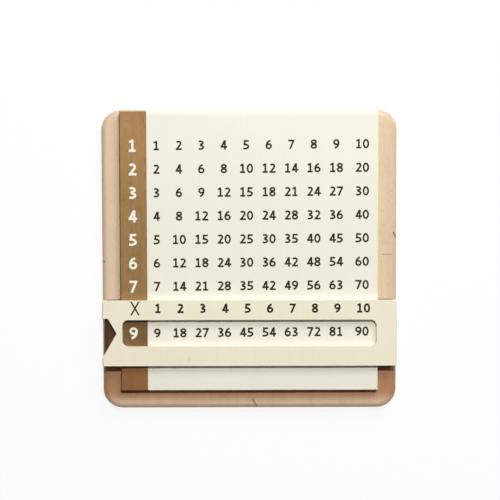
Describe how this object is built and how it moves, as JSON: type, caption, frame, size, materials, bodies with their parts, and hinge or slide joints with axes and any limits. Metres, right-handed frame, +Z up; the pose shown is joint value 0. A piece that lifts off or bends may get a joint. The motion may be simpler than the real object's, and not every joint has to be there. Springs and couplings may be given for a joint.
{
  "type": "multiplication board",
  "caption": "Square wooden times-table board with a raised two-tone panel and a captive sliding frame whose window reads one row at a time.",
  "frame": {"origin": "centre of the base board's underside", "axes": "+Z up from the board lying on its back, +Y along the slider's travel towards the first row, +X across the columns towards the last one"},
  "size_m": [0.15, 0.1524, 0.0167],
  "materials": {
    "beech": "satin varnished beech",
    "brown_wood": "satin walnut-toned wood",
    "cream_board": "matt cream paint on board",
    "ivory_board": "matt ivory paint on board",
    "dark_wood": "satin dark red-brown hardwood",
    "table_ink": "matt dark printing ink",
    "label_ink": "matt cream-white printing ink"
  },
  "bodies": {
    "board": {"base_board": "beech", "label_strip": "brown_wood", "table_panel": "cream_board"},
    "slider": {"slider_plate": "ivory_board", "slider_left_rail": "dark_wood", "slider_right_rail": "dark_wood"}
  },
  "joints": [
    {"name": "slider_travel", "type": "slide", "parent": "board", "child": "slider", "axis": [0, 1, 0], "range_m": [-0.0119, 0.0952]}
  ]
}
